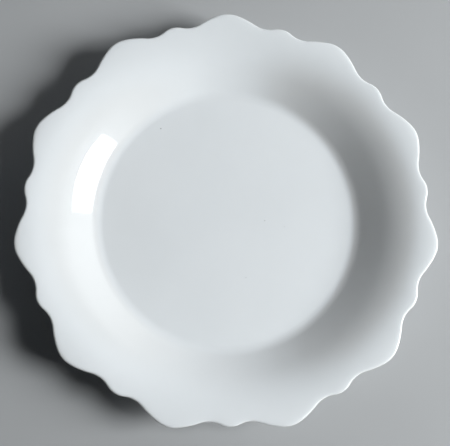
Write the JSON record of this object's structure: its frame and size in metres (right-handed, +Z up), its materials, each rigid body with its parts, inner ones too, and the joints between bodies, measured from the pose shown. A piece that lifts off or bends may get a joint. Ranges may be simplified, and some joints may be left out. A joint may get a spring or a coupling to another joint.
{
  "type": "dessert plate",
  "caption": "Round dessert plate of white opal glass with a flat well, a rising rim, a scalloped lip with a rounded edge and a low foot ring.",
  "frame": {"origin": "on the plate's axis, in the plane of the foot ring's flat, which is the surface that the plate stands on", "axes": "+Z up along the axis, out of the well; +Y through the tip of a large lobe"},
  "size_m": [0.197, 0.1951, 0.0181],
  "materials": {
    "opal_glass": "polished"
  },
  "bodies": {
    "root": {"plate": "opal_glass"}
  },
  "joints": []
}
